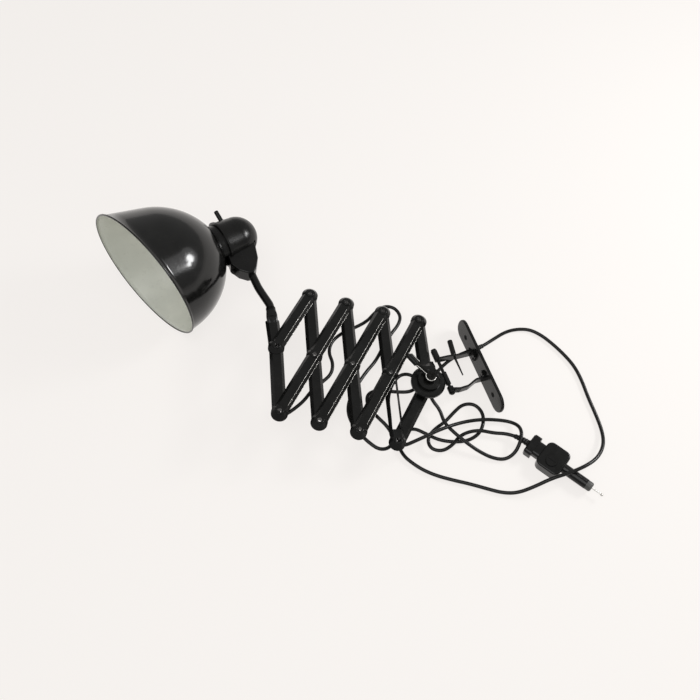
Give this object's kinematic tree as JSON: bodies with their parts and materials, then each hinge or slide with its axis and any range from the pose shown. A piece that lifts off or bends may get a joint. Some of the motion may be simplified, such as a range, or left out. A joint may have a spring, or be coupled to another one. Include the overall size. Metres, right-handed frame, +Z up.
{
  "type": "accordion wall lamp",
  "caption": "Black accordion wall lamp, folded, with wall bracket, scissor bars, locking hub, tilting bell shade and a loose flex with plug.",
  "frame": {"origin": "middle of the wall plate's back face", "axes": "+X out of the wall and along the lamp's reach, +Z up from the floor that it lies on, +Y along the wall plate; the lamp's own plane leans 11.23 degrees up about Y"},
  "size_m": [0.6281, 0.6255, 0.2147],
  "materials": {
    "enamel": "glossy black enamel on pressed steel",
    "shade_enamel": "glossy black enamel outside, off-white inside",
    "dark_steel": "worn bright steel",
    "black_plastic": "black moulded plastic",
    "grey_plastic": "dark grey plastic",
    "flex": "black rubber sheath",
    "ceramic": "off-white lampholder",
    "bulb_glass": "clear glass",
    "cap_metal": "brass screw cap"
  },
  "bodies": {
    "bracket": {"wall_plate": "enamel", "upper_arm": "enamel", "lower_arm": "enamel", "arm_rivets": "enamel", "plate_grommet": "flex", "spindle": "dark_steel", "spindle_clip": "dark_steel", "mains_lead": "flex", "hub_lead": "flex", "plug_body": "black_plastic", "plug_dial": "black_plastic", "plug_barrel": "black_plastic", "plug_nose": "grey_plastic", "plug_pin": "dark_steel"},
    "pin": {"drop_pin": "dark_steel"},
    "hub": {"hub_carrier": "enamel", "hub_bolt": "dark_steel", "arm_lead": "flex"},
    "upper_link": {"hub_link_upper": "enamel", "hub_cup": "enamel", "friction_washer": "dark_steel", "spring_washer": "dark_steel"},
    "lever": {"clamp_lever": "dark_steel", "lever_knob": "black_plastic"},
    "lower_link": {"hub_link_lower": "enamel"},
    "lower_bar_1": {"lower_bar_1": "enamel", "hub_pivot_rivet": "dark_steel", "hub_pivot_spacer": "dark_steel"},
    "upper_bar_1": {"upper_bar_1": "enamel", "upper_bar_1_rivets": "dark_steel", "upper_bar_1_spacers": "dark_steel"},
    "lower_bar_2": {"lower_bar_2": "enamel"},
    "upper_bar_2": {"upper_bar_2": "enamel", "upper_bar_2_rivets": "dark_steel", "upper_bar_2_spacers": "dark_steel"},
    "lower_bar_3": {"lower_bar_3": "enamel"},
    "upper_bar_3": {"upper_bar_3": "enamel", "upper_bar_3_rivets": "dark_steel", "upper_bar_3_spacers": "dark_steel"},
    "head_bar": {"head_bar": "enamel", "head_lead": "flex"},
    "end_link": {"end_link": "enamel", "end_link_rivets": "dark_steel", "end_link_spacers": "dark_steel"},
    "neck": {"neck_tube": "enamel", "neck_collar": "dark_steel", "knuckle": "black_plastic", "friction_screw": "dark_steel"},
    "head": {"lampholder_cap": "black_plastic", "knuckle_pin": "dark_steel", "switch_bush": "black_plastic", "shade_carrier": "black_plastic", "shade_ring": "black_plastic", "shade": "shade_enamel", "lampholder": "ceramic", "lampholder_contact": "dark_steel", "bulb_cap": "cap_metal", "bulb": "bulb_glass"},
    "switch": {"switch_lever": "black_plastic"}
  },
  "joints": [
    {"name": "swivel", "type": "hinge", "parent": "bracket", "child": "hub", "pos_m": [0.0613, 0.0073, 0.01217], "axis": [0, -1, 0], "range_deg": [0, 80]},
    {"name": "drop_pin_pull", "type": "slide", "parent": "bracket", "child": "pin", "axis": [0, -1, 0], "range_m": [0, 0.024]},
    {"name": "tilt", "type": "hinge", "parent": "hub", "child": "upper_link", "pos_m": [0.09142, 0.0073, 0.01815], "axis": [-0.1947, 0, 0.9809], "range_deg": [-2, 75]},
    {"name": "clamp_lever_turn", "type": "hinge", "parent": "upper_link", "child": "lever", "pos_m": [0.08752, 0.0073, 0.03776], "axis": [-0.1947, 0, 0.9809], "range_deg": [-40, 40]},
    {"name": "fold", "type": "hinge", "parent": "upper_link", "child": "lower_link", "pos_m": [0.09239, 0.0073, 0.01324], "axis": [0.1947, 0, -0.9809], "range_deg": [-10, 92]},
    {"name": "fold_lower_bar_1", "type": "hinge", "parent": "lower_link", "child": "lower_bar_1", "pos_m": [0.16678, 0.08176, 0.03311], "axis": [0.1947, 0, -0.9809], "range_deg": [-92, 10]},
    {"name": "fold_upper_bar_1", "type": "hinge", "parent": "lower_bar_1", "child": "upper_bar_1", "pos_m": [0.14015, -0.02174, 0.02782], "axis": [0.1947, 0, -0.9809], "range_deg": [-10, 92]},
    {"name": "fold_lower_bar_2", "type": "hinge", "parent": "upper_bar_1", "child": "lower_bar_2", "pos_m": [0.21552, 0.05273, 0.04278], "axis": [0.1947, 0, -0.9809], "range_deg": [-92, 10]},
    {"name": "fold_upper_bar_2", "type": "hinge", "parent": "lower_bar_2", "child": "upper_bar_2", "pos_m": [0.18889, -0.05077, 0.0375], "axis": [0.1947, 0, -0.9809], "range_deg": [-10, 92]},
    {"name": "fold_lower_bar_3", "type": "hinge", "parent": "upper_bar_2", "child": "lower_bar_3", "pos_m": [0.26426, 0.02369, 0.05246], "axis": [0.1947, 0, -0.9809], "range_deg": [-92, 10]},
    {"name": "fold_upper_bar_3", "type": "hinge", "parent": "lower_bar_3", "child": "upper_bar_3", "pos_m": [0.23763, -0.07981, 0.04717], "axis": [0.1947, 0, -0.9809], "range_deg": [-10, 92]},
    {"name": "fold_head_bar", "type": "hinge", "parent": "upper_bar_3", "child": "head_bar", "pos_m": [0.31299, -0.00534, 0.06213], "axis": [0.1947, 0, -0.9809], "range_deg": [-92, 10]},
    {"name": "fold_end_link", "type": "hinge", "parent": "head_bar", "child": "end_link", "pos_m": [0.28636, -0.10884, 0.05685], "axis": [0.1947, 0, -0.9809], "range_deg": [-10, 92]},
    {"name": "neck_swivel", "type": "hinge", "parent": "head_bar", "child": "neck", "pos_m": [0.27535, -0.17185, 0.05466], "axis": [-0.172, -0.9845, -0.0341], "range_deg": [-90, 90]},
    {"name": "head_tilt", "type": "hinge", "parent": "neck", "child": "head", "pos_m": [0.28889, -0.29305, 0.05735], "axis": [-0.1947, 0, 0.9809], "range_deg": [-33, 8]},
    {"name": "switch", "type": "hinge", "parent": "head", "child": "switch", "pos_m": [0.30128, -0.34577, 0.06897], "axis": [-0.2594, 0.2656, 0.9285], "range_deg": [-12, 12]}
  ],
  "couplings": [
    {"joint": "fold_lower_bar_1", "follows": "fold", "ratio": -1},
    {"joint": "fold_upper_bar_1", "follows": "fold", "ratio": 1},
    {"joint": "fold_lower_bar_2", "follows": "fold", "ratio": -1},
    {"joint": "fold_upper_bar_2", "follows": "fold", "ratio": 1},
    {"joint": "fold_lower_bar_3", "follows": "fold", "ratio": -1},
    {"joint": "fold_upper_bar_3", "follows": "fold", "ratio": 1},
    {"joint": "fold_head_bar", "follows": "fold", "ratio": -1},
    {"joint": "fold_end_link", "follows": "fold", "ratio": 1}
  ]
}
